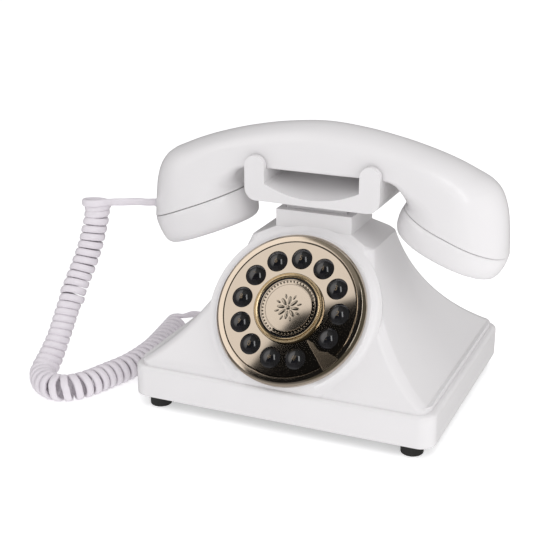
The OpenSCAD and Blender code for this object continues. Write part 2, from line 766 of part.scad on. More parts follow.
// a small plug with a boot; its cord leaves along -X at x = 0
module plug() {
    block([0, -2.6, -2.6], [boot_len, 2.6, 2.6]);
    block([boot_len - eps, -socket_w / 2 + 0.2, -socket_h / 2 + 0.2],
        [boot_len + plug_len, socket_w / 2 - 0.2, socket_h / 2 - 0.2]);
}

module handset_plug() color("#d9d6da") {
    translate([-hand_hx - boot_out, 0, exit_z]) plug();
}

module base_plug() color("#d9d6da") {
    translate([-plinth_hx - boot_out, jack_y, jack_z]) plug();
}

module handset_cord_lead() color("#dad2da") {
    tube(smooth(lead_route, 4), cord_d / 2, 8);
}

module handset_cord_coil() color("#dad2da") {
    tube(smooth(coil_route, 2), coil_d / 2, 12);
}

module handset_cord_tail() color("#dad2da") {
    tube(smooth(tail_route, 4), cord_d / 2, 8);
}

housing();
bottom_cover();
case_screws();
rubber_feet();
base_weight();
main_board();
ringer_speaker();
line_jack();
base_handset_jack();
ringer_switch_body();
ringer_switch_knob();
dial_rim();
dial_plate();
centre_ring();
medallion();
finger_stop();
keypad_frame();
keypad_board();
keypad_membrane();
dial_screws();
for (i = [0:11]) button(i);
cradle();
cradle_stem();
cradle_screws();
hook_bracket();
hook_spring();
hook_switch();
handset_shell();
grip_cover();
earpiece_cap();
mouthpiece_cap();
earpiece_receiver();
microphone();
handset_weight();
handset_jack();
handset_screws();
handset_plug();
handset_cord_lead();
handset_cord_coil();
handset_cord_tail();
base_plug();
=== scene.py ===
"""A white desk telephone in a 1930s style, with a ring of push buttons on a mirror-bright dial plate."""

import json
from math import acos, atan2, cos, pi, radians, sin, sqrt, tan

import bmesh
import bpy
from mathutils import Matrix, Vector


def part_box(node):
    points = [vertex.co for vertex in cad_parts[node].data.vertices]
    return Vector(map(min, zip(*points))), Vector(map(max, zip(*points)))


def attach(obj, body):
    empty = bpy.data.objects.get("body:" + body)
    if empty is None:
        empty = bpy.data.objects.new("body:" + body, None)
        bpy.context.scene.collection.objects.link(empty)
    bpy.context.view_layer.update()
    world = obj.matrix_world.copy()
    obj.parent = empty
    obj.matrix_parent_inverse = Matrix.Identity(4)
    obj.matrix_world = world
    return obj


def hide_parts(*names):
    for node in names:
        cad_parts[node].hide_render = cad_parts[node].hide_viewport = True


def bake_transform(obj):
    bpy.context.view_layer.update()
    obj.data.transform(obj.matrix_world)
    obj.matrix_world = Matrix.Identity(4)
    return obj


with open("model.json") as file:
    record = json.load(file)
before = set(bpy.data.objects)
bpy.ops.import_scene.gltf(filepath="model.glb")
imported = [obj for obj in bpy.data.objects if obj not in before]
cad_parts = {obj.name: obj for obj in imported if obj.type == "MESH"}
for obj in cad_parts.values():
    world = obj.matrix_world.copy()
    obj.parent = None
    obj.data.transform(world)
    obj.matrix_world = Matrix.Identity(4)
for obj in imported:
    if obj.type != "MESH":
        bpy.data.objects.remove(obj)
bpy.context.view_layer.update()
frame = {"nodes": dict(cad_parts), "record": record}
MM = 0.001
WELD = 0.002 * MM  # points closer than this become one

# ---------------------------------------------------------------- places and sizes, in metres

housing_low, housing_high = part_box("housing")
PLINTH_X = housing_high.x
PLINTH_BACK = housing_high.y
FOOT_HEIGHT = housing_low.z
NECK_TOP = housing_high.z
PLINTH_TOP = FOOT_HEIGHT + 21 * MM
PLINTH_CORNER = 10 * MM
GROOVE_DEPTH = 4 * MM
TOWER_LOW = PLINTH_TOP + 2.5 * MM
TOWER_X = PLINTH_X - 5 * MM
TOWER_BACK = PLINTH_BACK - 2.4 * MM
SHOULDER_X, SHOULDER_Y, SHOULDER_Z = 41.3 * MM, 26.5 * MM, 106.5 * MM
NECK_X, NECK_Y, NECK_LOW = 25.5 * MM, 20 * MM, 113.4 * MM
FLARE_RADIUS = 130 * MM

DIAL_LEAN = radians(35.5)
DIAL_CENTRE = Vector((0, -57.6, 73.5)) * MM
PLATE_TOP = 2 * MM
RELIEF_LEVEL = 3.95 * MM
RING_RADIUS = 32.2 * MM
DOME_RADIUS, DOME_HEIGHT = 6.6 * MM, 2.7 * MM
SHANK_RADIUS = 6.3 * MM
BUTTON_STEP = radians(28.85)
BUTTON_FIRST = radians(-26.8)
BUTTONS = [(figure, figure) for figure in "1234567890"] + [("star", "*"), ("hash", "#")]

CORD_WIDTH, CORD_THICK = 4.9 * MM, 3.2 * MM
CORD_SIDES = 12
COIL_SIDES = 20
# middle lines, in mm: out of the handset, the coil's own, and into the base
CORD_LEAD = [(-123, 0, 112.5), (-128, -4.5, 113), (-134, -9, 114), (-140, -13.5, 114.2),
             (-146, -17, 114.4)]
COIL_LINE = [(-158, -20, 117), (-158, -21, 106), (-159, -24, 96), (-160, -28, 86), (-162, -34, 74),
             (-164, -41, 63), (-165, -49, 52), (-166, -56, 41), (-167, -63, 30), (-168, -69, 22),
             (-169, -75, 15), (-169, -81, 11), (-165, -87, 9.4), (-159, -92, 9.2), (-151, -95, 9.2),
             (-144, -94, 9.2), (-138, -89, 9.2), (-133, -80, 9.2), (-130, -71, 9.2), (-127, -62, 9.2),
             (-124, -53, 9.2), (-122, -43, 9.2), (-121, -30, 9.2), (-121, -16, 9.2), (-123, 0, 9.2),
             (-125, 13, 9.2), (-127, 26, 9.2)]
CORD_TAIL = [(-121.5, 30.5, 17.4), (-117, 34.5, 18), (-112, 36, 18), (-106, 36, 18), (-101.5, 36, 18)]
# along the coil's middle line, in mm: how far one turn moves on, and how far the wire stands off
COIL_PITCH = [(0, 3.6), (6, 3.9), (10.5, 5.6), (71, 5.6), (73, 4.85), (112, 4.8), (150, 5.2), (158, 6.0),
              (180, 6.0), (282, 5.9)]
COIL_REACH = [(0, 8.9), (3.5, 8.7), (6.5, 6.9), (66, 6.9), (71, 7.5), (73, 6.4), (100, 6.3), (118, 7.2),
              (150, 7.4), (282, 7.3)]

CAMERA_SPOT = Vector((0.2565, -0.6729, 0.3365))
CAMERA_DOWN, CAMERA_TURN = radians(20.09), radians(23.16)
CAMERA_LENS = 74.97


def dial_frame():
    """The dial's own frame: z out of its face, y up its face."""
    return Matrix.Translation(DIAL_CENTRE) @ Matrix.Rotation(pi / 2 - DIAL_LEAN, 4, "X")


def button_spot(index):
    """The middle of a button on the dial's face."""
    angle = BUTTON_FIRST + index * BUTTON_STEP
    return Vector((RING_RADIUS * cos(angle), RING_RADIUS * sin(angle), 0))


# ---------------------------------------------------------------- camera

def make_camera():
    bpy.ops.object.camera_add(location=CAMERA_SPOT,
                              rotation=(pi / 2 - CAMERA_DOWN, 0, CAMERA_TURN))
    camera = bpy.context.object
    camera.name = "camera"
    camera.data.lens = CAMERA_LENS
    camera.data.sensor_width = 36
    camera.data.clip_start = 0.01
    bpy.context.scene.camera = camera


make_camera()

# ---------------------------------------------------------------- finishes

IN_MM = (1000, 1000, 1000)
PLASTIC_IOR, RUBBER_IOR = 1.49, 1.52


class Value:
    """One socket of a finish, so that shader maths reads as plain expressions."""

    def __init__(self, finish, socket):
        self.finish = finish
        self.socket = socket

    def _do(self, operation, first, second=None):
        entries = {0: first} if second is None else {0: first, 1: second}
        return self.finish.node("ShaderNodeMath", {"operation": operation}, entries)

    def __add__(self, other):
        return self._do("ADD", self, other)

    __radd__ = __add__

    def __mul__(self, other):
        return self._do("MULTIPLY", self, other)

    __rmul__ = __mul__

    def __sub__(self, other):
        return self._do("SUBTRACT", self, other)

    def __rsub__(self, other):
        return self._do("SUBTRACT", other, self)

    def __gt__(self, other):
        return self._do("GREATER_THAN", self, other)

    def power(self, other):
        return self._do("POWER", self, other)

    def sine(self):
        return self._do("SINE", self)

    def clipped(self):
        """Kept between nought and one."""
        return self._do("MINIMUM", self._do("MAXIMUM", self, 0.0), 1.0)


class Tree:
    """Short ways to add nodes to a node tree."""

    def __init__(self, tree):
        self.nodes = tree.nodes
        self.links = tree.links

    def node(self, kind, settings=None, inputs=None, output=0):
        """Adds a node: its settings first, then the values or links of its sockets."""
        node = self.nodes.new(kind)
        for key, value in (settings or {}).items():
            setattr(node, key, value)
        for key, value in (inputs or {}).items():
            if isinstance(value, Value):
                self.links.new(value.socket, node.inputs[key])
            else:
                node.inputs[key].default_value = value
        return Value(self, node.outputs[output])

    def blend(self, factor, first, second):
        """A colour between two others."""
        return self.node("ShaderNodeMix", {"data_type": "RGBA"}, {0: factor, 6: first, 7: second}, 2)


class Finish(Tree):
    """A material with one Principled shader, and short ways to feed it."""

    def __init__(self, name, **uniform):
        self.material = bpy.data.materials.new(name)
        self.material.use_nodes = True
        super().__init__(self.material.node_tree)
        self.shader = self.nodes["Principled BSDF"]
        for socket, value in uniform.items():
            self.shader.inputs[socket.replace("_", " ")].default_value = value

    def mapping(self, vector, **sockets):
        return self.node("ShaderNodeMapping", {}, {0: vector, **sockets})

    def place(self):
        """Object coordinates, in millimetres."""
        return self.mapping(self.node("ShaderNodeTexCoord", output="Object"), Scale=IN_MM)

    def parts(self, vector):
        return [self.node("ShaderNodeSeparateXYZ", {}, {0: vector}, i) for i in range(3)]

    def noise(self, vector, scale, detail=2):
        return self.node("ShaderNodeTexNoise", {}, {"Vector": vector, "Scale": scale, "Detail": detail})

    def set(self, socket, value):
        self.links.new(value.socket, self.shader.inputs[socket])

    def bump(self, height, depth, strength=1.0):
        """Raises the surface by height times depth, in metres."""
        self.set("Normal", self.node("ShaderNodeBump", {}, {"Height": height, "Distance": depth,
                                                             "Strength": strength}))


def rgb(red, green, blue):
    """A colour with the opacity that Blender's sockets ask for."""
    return (red, green, blue, 1.0)


def moulded(name, light, dark, roughness, grain, relief, gloss=0.0):
    """Moulded plastic: faint cloudiness in colour and gloss, and a fine texture of the mould."""
    finish = Finish(name, IOR=PLASTIC_IOR, Coat_Roughness=0.12, Coat_Weight=gloss)
    place = finish.place()
    cloud = finish.noise(place, 0.035, 3)
    finish.set("Base Color", finish.blend(cloud, rgb(*dark), rgb(*light)))
    finish.set("Roughness", finish.noise(place, 0.12) * 0.08 + (roughness - 0.04))
    finish.bump(finish.noise(place, grain), relief)
    return finish.material


def polished_metal(name, light, dark, roughness, brushing, relief=0.004 * MM):
    """Plated metal, turned on a lathe: fine rings about the dial's axis and faint smears."""
    finish = Finish(name, Metallic=1.0)
    centre = finish.node("ShaderNodeVectorMath", {"operation": "SUBTRACT"},
                         {0: finish.node("ShaderNodeTexCoord", output="Object"), 1: tuple(DIAL_CENTRE)})
    across, up, _out = finish.parts(finish.mapping(centre, Rotation=(DIAL_LEAN - pi / 2, 0, 0),
                                                   Scale=IN_MM))
    radius = (across * across + up * up).power(0.5)
    rings = finish.noise(finish.node("ShaderNodeCombineXYZ", {}, {0: radius * 3.0}), 1.0, 3)
    smear = finish.noise(finish.place(), 0.05, 4)
    finish.set("Base Color", finish.blend(smear, rgb(*dark), rgb(*light)))
    finish.set("Roughness", (rings * 0.6 + smear * 0.4) * brushing + roughness)
    finish.bump(rings, relief, 0.4)
    return finish.material


def soft_rubber(name, shade):
    """Matt rubber with a little dust on it."""
    finish = Finish(name, IOR=RUBBER_IOR)
    place = finish.place()
    dust = finish.noise(place, 0.5, 4)
    finish.set("Base Color", finish.blend(dust, rgb(shade, shade, shade),
                                          rgb(shade * 2.2, shade * 2.2, shade * 2.1)))
    finish.set("Roughness", dust * 0.2 + 0.6)
    finish.bump(finish.noise(place, 2.5, 3), 0.08 * MM)
    return finish.material


def plated_steel(name, tone, roughness):
    """Plain metal parts, drawn or pressed, with faint streaks."""
    finish = Finish(name, Metallic=1.0)
    place = finish.place()
    streaks = finish.noise(finish.mapping(place, Scale=(0.2, 4, 0.2)), 1, 4)
    finish.set("Base Color", finish.blend(streaks, rgb(tone, tone, tone * 1.02),
                                          rgb(tone * 0.8, tone * 0.82, tone * 0.86)))
    finish.set("Roughness", streaks * 0.2 + roughness)
    finish.bump(streaks, 0.02 * MM)
    return finish.material


def circuit_board(name):
    """Green solder resist with lighter copper tracks under it."""
    finish = Finish(name, Roughness=0.35)
    place = finish.place()
    x, y, _z = finish.parts(place)
    wave = (x * 1.3 + (y * 0.35).sine() * 2).sine()
    tracks = wave > 0.55
    finish.set("Base Color", finish.blend(tracks, rgb(0.02, 0.13, 0.05), rgb(0.05, 0.26, 0.09)))
    finish.bump(tracks, 0.03 * MM)
    return finish.material


# moulded: light, dark, roughness, grain, relief, gloss; polished_metal: light, dark, roughness,
# brushing, relief; plated_steel: tone, roughness; soft_rubber: shade
FINISHES = {name: make(name, *values) for name, make, *values in (
    ("white_plastic", moulded, (0.712, 0.697, 0.703), (0.692, 0.677, 0.684), 0.33, 1.2, 0.006 * MM,
     0.25),
    ("dark_plastic", moulded, (0.05, 0.05, 0.055), (0.035, 0.035, 0.038), 0.5, 3, 0.03 * MM),
    ("black_plastic", moulded, (0.022, 0.022, 0.024), (0.015, 0.015, 0.016), 0.4, 3, 0.02 * MM),
    ("foot_rubber", soft_rubber, 0.012),
    ("membrane_rubber", soft_rubber, 0.11),
    ("plated_steel", plated_steel, 0.62, 0.22),
    ("iron_weight", plated_steel, 0.2, 0.5),
    ("board_green", circuit_board),
    ("antique_gold", polished_metal, (0.52, 0.41, 0.26), (0.46, 0.36, 0.22), 0.14, 0.10),
    ("mirror_plate", polished_metal, (0.44, 0.385, 0.32), (0.41, 0.355, 0.29), 0.03, 0.02,
     0.0008 * MM),
    ("button_black", moulded, (0.010, 0.010, 0.012), (0.004, 0.004, 0.005), 0.07, 0.3, 0.002 * MM,
     0.5),
    ("plug_plastic", moulded, (0.66, 0.64, 0.67), (0.60, 0.58, 0.61), 0.22, 2, 0.004 * MM),
    ("cord_vinyl", moulded, (0.72, 0.68, 0.72), (0.68, 0.64, 0.68), 0.34, 1.5, 0.006 * MM),
    ("rim_metal", polished_metal, (0.56, 0.485, 0.40), (0.50, 0.43, 0.35), 0.08, 0.05),
    # the finger stop: the dial's antique gold made darker with painted shade, as its face mirrors a dark
    # studio
    ("stop_metal_painted_shade", polished_metal, (0.24, 0.20, 0.15), (0.19, 0.155, 0.115), 0.12, 0.05),
    ("relief_metal", polished_metal, (0.40, 0.35, 0.29), (0.30, 0.26, 0.21), 0.18, 0.10),
    ("figure_gold", moulded, (0.17, 0.125, 0.075), (0.13, 0.095, 0.055), 0.3, 3, 0.002 * MM),
)}
SLOTS = {entry["node"]: entry["material_slot"] for entry in frame["record"]["subparts"]}


def coat(piece, slot, finish=None):
    """Gives a piece one finish: its slot's own, or another one that is named."""
    piece.data.materials.clear()
    piece.data.materials.append(FINISHES[finish or slot])


for node, slot in SLOTS.items():
    coat(frame["nodes"][node], slot)

# ---------------------------------------------------------------- modelling helpers


def only(piece):
    """Deselects everything else and makes the piece active."""
    if bpy.context.mode != "OBJECT":
        bpy.ops.object.mode_set(mode="OBJECT")
    bpy.ops.object.select_all(action="DESELECT")
    piece.select_set(True)
    bpy.context.view_layer.objects.active = piece
    return piece


def added(name, primitive, stretch=None, **settings):
    """A new primitive, named and with its place in its mesh. A plane takes no scale, so it is
    stretched after it is made."""
    bpy.ops.object.select_all(action="DESELECT")
    primitive(**settings)
    piece = bpy.context.object
    piece.name = name
    if stretch:
        piece.scale = stretch
    bpy.ops.object.transform_apply(location=True, rotation=True, scale=True)
    return piece


def shape(piece, kind="FACE"):
    """Goes into edit mode on one piece, with nothing selected."""
    only(piece)
    bpy.ops.object.mode_set(mode="EDIT")
    bpy.ops.mesh.select_mode(type=kind)
    bpy.ops.mesh.select_all(action="DESELECT")


def done():
    bpy.ops.object.mode_set(mode="OBJECT")


def pick(piece, kind, test):
    """In edit mode: selects the vertices, edges or faces that pass the test, and only those."""
    bpy.ops.mesh.select_mode(type=kind)
    mesh = bmesh.from_edit_mesh(piece.data)
    for vertex in mesh.verts:
        vertex.select = False
    for edge in mesh.edges:
        edge.select = False
    for face in mesh.faces:
        face.select = False
    for part in {"VERT": mesh.verts, "EDGE": mesh.edges, "FACE": mesh.faces}[kind]:
        if test(part):
            part.select_set(True)
    mesh.select_flush_mode()
    bmesh.update_edit_mesh(piece.data)


def bevel(piece, test, radius, segments, clamp=False):
    """In edit mode: rounds the edges that pass the test."""
    pick(piece, "EDGE", test)
    bpy.ops.mesh.bevel(offset=radius, offset_type="OFFSET", segments=segments, affect="EDGES",
                       clamp_overlap=clamp)


def ends(edge):
    return edge.verts[0].co, edge.verts[1].co


def heights(edge):
    """The lower and the upper end of an edge."""
    return sorted(end.z for end in ends(edge))


def upright(edge):
    a, b = ends(edge)
    return abs(a.z - b.z) > 0.2 * (a - b).length


def level(edge, height, room=0.1 * MM):
    return all(abs(end.z - height) < room for end in ends(edge))


def smooth(piece, angle=35):
    only(piece)
    bpy.ops.object.shade_smooth_by_angle(angle=radians(angle))
    return piece


def apply_modifier(piece, kind, **settings):
    only(piece)
    bpy.ops.object.modifier_add(type=kind)
    modifier = piece.modifiers[-1]
    for key, value in settings.items():
        setattr(modifier, key, value)
    bpy.ops.object.modifier_apply(modifier=modifier.name)


def cut_out(piece, drill):
    """Drills a piece with another one, which is used up."""
    apply_modifier(piece, "BOOLEAN", operation="DIFFERENCE", object=drill, solver="EXACT")
    bpy.data.objects.remove(drill)


def placed(piece, matrix):
    """Moves a piece that was made about the origin to its place, and puts that in its mesh."""
    only(piece)
    piece.matrix_world = matrix
    bpy.ops.object.transform_apply(location=True, rotation=True, scale=True)
    return piece


def joined(name, *pieces):
    only(pieces[0])
    for piece in pieces:
        piece.select_set(True)
    bpy.ops.object.join()
    pieces[0].name = name
    return pieces[0]


def turned(name, outline, steps=96):
    """A solid of revolution about Z. The outline is (radius, height) points, in metres: from axis to
    axis, or closed."""
    piece = added(name, bpy.ops.mesh.primitive_plane_add, size=1 * MM, location=(0, 0, 0))
    shape(piece, "VERT")
    bpy.ops.mesh.select_all(action="SELECT")
    bpy.ops.mesh.merge(type="CENTER")
    bpy.ops.transform.translate(value=(outline[0][0], 0, outline[0][1]))
    for before, after in zip(outline, outline[1:]):
        step = (after[0] - before[0], 0, after[1] - before[1])
        bpy.ops.mesh.extrude_region_move(TRANSFORM_OT_translate={"value": step})
    bpy.ops.mesh.select_all(action="SELECT")
    bpy.ops.mesh.spin(steps=steps, angle=2 * pi, center=(0, 0, 0), axis=(0, 0, 1))
    bpy.ops.mesh.select_all(action="SELECT")
    bpy.ops.mesh.remove_doubles(threshold=WELD)
    bpy.ops.mesh.normals_make_consistent(inside=False)
    done()
    return smooth(piece, 30)


def ring_outline(rows):
    """The closed outline of a ring, from its (radius, height) rows in mm."""
    outline = [(radius * MM, height * MM) for radius, height in rows]
    return outline + outline[:1]


def softened(node, width, segments=3, angle=35):
    """A copy of a CAD piece with its sharp edges rounded, as a mould or a press leaves them."""
    source = frame["nodes"][node]
    piece = bpy.data.objects.new(node + "_soft", source.data.copy())
    bpy.context.scene.collection.objects.link(piece)
    shape(piece, "EDGE")
    bpy.ops.mesh.select_all(action="SELECT")
    bpy.ops.mesh.remove_doubles(threshold=WELD)
    bpy.ops.mesh.dissolve_limited(angle_limit=radians(0.5))
    done()
    apply_modifier(piece, "BEVEL", width=width, segments=segments, limit_method="ANGLE",
                   angle_limit=radians(angle), use_clamp_overlap=True)
    smooth(piece, 40)
    apply_modifier(piece, "WEIGHTED_NORMAL", keep_sharp=True)
    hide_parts(node)
    return piece


def finish_piece(piece, slot, body, *nodes, finish=None):
    """Coats a piece, puts it on its body and hides the nodes that it replaces."""
    coat(piece, slot, finish)
    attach(piece, body)
    if nodes:
        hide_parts(*nodes)
    return piece


# ---------------------------------------------------------------- handset cord

def curve_point(before, start, end, after, t):
    """A value on the smooth curve between start and end, at t from 0 to 1."""
    return 0.5 * (2 * start + (end - before) * t + (2 * before - 5 * start + 4 * end - after) * t * t
                  + (3 * start - before - 3 * end + after) * t ** 3)


def smooth_line(points, steps):
    """A smooth line in metres through points in mm, with so many steps from each to the next."""
    spots = [Vector(p) * MM for p in points]
    last = len(spots) - 1
    line = []
    for i in range(last):
        near = (spots[max(i - 1, 0)], spots[i], spots[i + 1], spots[min(i + 2, last)])
        line += [curve_point(*near, k / steps) for k in range(steps)]
    return line + [spots[last]]


def between(table, at):
    """A value read off a table of (place, value) rows."""
    for (place0, value0), (place1, value1) in zip(table, table[1:]):
        if at <= place1:
            return value0 + (value1 - value0) * (at - place0) / (place1 - place0)
    return table[-1][1]


def coil_turns(line):
    """The helix about a line, with the line's direction at each point. It ends at the top of a turn."""
    lengths = [0.0]
    for a, b in zip(line, line[1:]):
        lengths.append(lengths[-1] + (b - a).length)
    total = lengths[-1]
    side = Vector((0.48, -0.87, 0))
    helix = []
    angle, travelled, i, lift = radians(-18), 2.0 * MM, 0, 0.0
    while travelled < total or lift < 0.97:
        while i < len(line) - 2 and lengths[i + 1] < travelled:
            i += 1
        ahead = (line[i + 1] - line[i]).normalized()
        side = (side - ahead * side.dot(ahead)).normalized()
        along = (travelled - lengths[i]) / (lengths[i + 1] - lengths[i])
        middle = line[i] + (line[i + 1] - line[i]) * along
        out = side * cos(angle) + ahead.cross(side) * sin(angle)
        lift = out.z
        helix.append((middle + out * between(COIL_REACH, travelled / MM) * MM, ahead))
        angle += 2 * pi / COIL_SIDES
        travelled += between(COIL_PITCH, travelled / MM) * MM / COIL_SIDES
    return helix


def lofted(name, rings):
    """A closed skin over rings of points, each with as many points as the next."""
    mesh = bmesh.new()
    rows = [[mesh.verts.new(point) for point in ring] for ring in rings]
    count = len(rows[0])
    for row, after in zip(rows, rows[1:]):
        for i in range(count):
            j = (i + 1) % count
            mesh.faces.new((row[i], row[j], after[j], after[i]))
    mesh.faces.new(rows[0][::-1])
    mesh.faces.new(rows[-1])
    bmesh.ops.recalc_face_normals(mesh, faces=mesh.faces[:])
    data = bpy.data.meshes.new(name)
    mesh.to_mesh(data)
    mesh.free()
    piece = bpy.data.objects.new(name, data)
    bpy.context.scene.collection.objects.link(piece)
    return piece


def make_cord():
    """A slightly flat cord: it lies flat against the coil, and on edge in its straight ends."""
    up = Vector((0, 0, 1))
    turns = coil_turns(smooth_line(COIL_LINE, 6))
    first, third, before_last, last = [tuple(turns[k][0] / MM) for k in (0, 2, -3, -1)]
    # the joining lines start one spot early, for their direction, and leave out what is there already
    join = smooth_line(CORD_LEAD[-2:] + [first, third], 5)[6:10]
    tail_line = smooth_line([before_last, last] + CORD_TAIL, 5)[6:]
    turns = [(point, -ahead) for point, ahead in turns]
    coil_axis = turns[-1][1]
    tail = [(point, coil_axis.lerp(up, min(1.0, k / 12))) for k, point in enumerate(tail_line)]
    stations = [(point, up) for point in smooth_line(CORD_LEAD, 4) + join] + turns + tail
    path = [point for point, _axis in stations]
    section = []
    for k in range(CORD_SIDES):
        x, y = cos(2 * pi * k / CORD_SIDES), sin(2 * pi * k / CORD_SIDES)
        squared = (abs(x) ** 3 + abs(y) ** 3) ** (-1 / 3)
        section.append((x * squared * CORD_WIDTH / 2, y * squared * CORD_THICK / 2))
    rings = []
    for i, (point, axis) in enumerate(stations):
        along = (path[min(i + 1, len(path) - 1)] - path[max(i - 1, 0)]).normalized()
        wide = (axis - along * axis.dot(along)).normalized()
        thin = along.cross(wide)
        rings.append([point + wide * x + thin * y for x, y in section])
    cord = smooth(lofted("handset_cord", rings), 60)
    coat(cord, "cord_vinyl")
    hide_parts("handset_cord_lead", "handset_cord_coil", "handset_cord_tail")
    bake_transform(cord)
    length = sum((b - a).length for a, b in zip(path, path[1:]))


make_cord()

# ---------------------------------------------------------------- housing

def flare(height):
    """How far the tower's concave side stands out at a height."""
    run, rise = TOWER_X - SHOULDER_X, SHOULDER_Z - TOWER_LOW
    chord = sqrt(run * run + rise * rise)
    off = sqrt(FLARE_RADIUS ** 2 - chord ** 2 / 4)
    centre_x = (TOWER_X + SHOULDER_X) / 2 + off * rise / chord
    centre_z = (SHOULDER_Z + TOWER_LOW) / 2 + off * run / chord
    return centre_x - sqrt(FLARE_RADIUS ** 2 - (height - centre_z) ** 2)


def tower_section(height):
    """(half width, front, back) of the tower at a height."""
    half = flare(height)
    front = -SHOULDER_Y - (SHOULDER_Z - height) * tan(DIAL_LEAN)
    back = half - (SHOULDER_X - SHOULDER_Y)
    return half, max(front, -TOWER_BACK), min(back, TOWER_BACK)


def grow(before, after, z_before, z_after):
    """Extrudes the selected ring up to the next section."""
    half0, front0, back0 = before
    half1, front1, back1 = after
    middle0, middle1 = (front0 + back0) / 2, (front1 + back1) / 2
    move = (0, middle1 - middle0, z_after - z_before)
    bpy.ops.mesh.extrude_region_move(TRANSFORM_OT_translate={"value": move})
    bpy.ops.transform.resize(value=(half1 / half0, (back1 - front1) / (back0 - front0), 1),
                             center_override=(0, middle1, z_after))


def make_block(name, half_x, half_y, low, high, corner, top_edge, bottom_edge):
    """A block with round upright corners and softened edges."""
    piece = added(name, bpy.ops.mesh.primitive_cube_add, size=1, location=(0, 0, (low + high) / 2),
                  scale=(2 * half_x, 2 * half_y, high - low))
    shape(piece, "EDGE")
    bevel(piece, upright, corner, 10)
    bevel(piece, lambda e: level(e, high), top_edge, 5)
    bevel(piece, lambda e: level(e, low), bottom_edge, 3)
    done()
    return piece


def make_tower():
    """The flared tower, its hip roof and its open neck, grown from one plane."""
    low, steps, slack = PLINTH_TOP - 2 * MM, 18, 0.1 * MM
    half, front, back = before = tower_section(TOWER_LOW)
    piece = added("tower", bpy.ops.mesh.primitive_plane_add, (2 * half, back - front, 1), size=1,
                  location=(0, (front + back) / 2, low))
    shape(piece)
    bpy.ops.mesh.select_all(action="SELECT")
    levels = [TOWER_LOW + (SHOULDER_Z - TOWER_LOW) * i / steps for i in range(steps + 1)]
    neck = (NECK_X, -NECK_Y, NECK_Y)
    z_before = low
    sections = [(tower_section(z), z) for z in levels] + [(neck, NECK_LOW), (neck, NECK_TOP)]
    for section, height in sections:
        grow(before, section, z_before, height)
        before, z_before = section, height
    bpy.ops.mesh.inset(thickness=5 * MM)
    bpy.ops.mesh.extrude_region_move(TRANSFORM_OT_translate={"value": (0, 0, -6 * MM)})

    def tower_corner(edge):
        return upright(edge) and heights(edge)[1] < SHOULDER_Z + slack

    def roof_corner(edge):
        return (upright(edge) and heights(edge)[0] > SHOULDER_Z - slack
                and heights(edge)[1] < NECK_LOW + slack)

    def neck_corner(edge):
        return (upright(edge) and heights(edge)[0] > NECK_LOW - slack
                and max(abs(end.x) for end in ends(edge)) > NECK_X - slack)

    for test, radius, segments in (
            (tower_corner, 6, 7), (roof_corner, 2.5, 4), (neck_corner, 2, 4),
            (lambda e: level(e, SHOULDER_Z, 0.4 * MM), 2.5, 4),
            (lambda e: level(e, NECK_LOW, 0.3 * MM), 1.2, 4), (lambda e: level(e, NECK_TOP), 0.8, 3)):
        bevel(piece, test, radius * MM, segments, clamp=True)
    done()
    return piece


def make_collar():
    """The boss round the dial, flared into the front panel and cut off at the tower's foot."""
    piece = turned("collar", ring_outline([
        (44, -9), (44, -3.4), (50, -3.1), (50.6, -3.4), (50.9, -4), (51.5, -4.8), (52.6, -5.5),
        (54.2, -6), (56.5, -6.3), (56.5, -9)]), 128)
    placed(piece, dial_frame())
    shape(piece)
    bpy.ops.mesh.select_all(action="SELECT")
    bpy.ops.mesh.bisect(plane_co=(0, -TOWER_BACK - 0.4 * MM, 0), plane_no=(0, -1, 0), use_fill=True,
                        clear_outer=True)
    done()
    return piece


def make_housing():
    """The plinth, the groove over it, the tower and the dial's boss, as one white moulding."""
    plinth = make_block("plinth", PLINTH_X, PLINTH_BACK, FOOT_HEIGHT, PLINTH_TOP,
                        PLINTH_CORNER, 2.6 * MM, 0.8 * MM)
    groove = make_block("groove", PLINTH_X - GROOVE_DEPTH, PLINTH_BACK - GROOVE_DEPTH,
                        PLINTH_TOP - 3 * MM, TOWER_LOW + 1 * MM,
                        PLINTH_CORNER - GROOVE_DEPTH / 2, 0.2 * MM, 0.2 * MM)
    piece = joined("housing_shell", plinth, groove, make_tower(), make_collar())
    smooth(piece, 32)
    apply_modifier(piece, "WEIGHTED_NORMAL", keep_sharp=True)
    finish_piece(piece, "white_plastic", "base", "housing")


make_housing()

# ---------------------------------------------------------------- handset

# side view, in mm: a point of the upper line, the one under it, then half width, upper and lower corner
SECTIONS = [
    (0, 179, 0, 150, 20, 21, 1.6), (26, 176.9, 22, 150, 20, 21, 1.6),
    (50, 172.5, 38, 150, 20.2, 21, 1.8),
    (69.6, 167.3, 47, 149.4, 21, 21.4, 3), (85.9, 161.9, 52.4, 147, 21.8, 22.7, 5),
    (98.4, 156.6, 56, 142.3, 22.6, 24, 8), (107.1, 152.3, 57.2, 138.7, 23.4, 25.3, 12.5),
    (113.7, 145.5, 57.3, 136.2, 24.2, 26.6, 17), (117.7, 134.7, 56.7, 134.5, 25, 27.9, 21.5),
    (119.4, 120.8, 55.3, 133.2, 25.8, 29.2, 26), (120.2, 106, 54.2, 132.8, 25.9, 30.5, 30.5)]
CORNER_STEPS = 9
NEARLY = 0.98  # how much of a half side a corner may take up


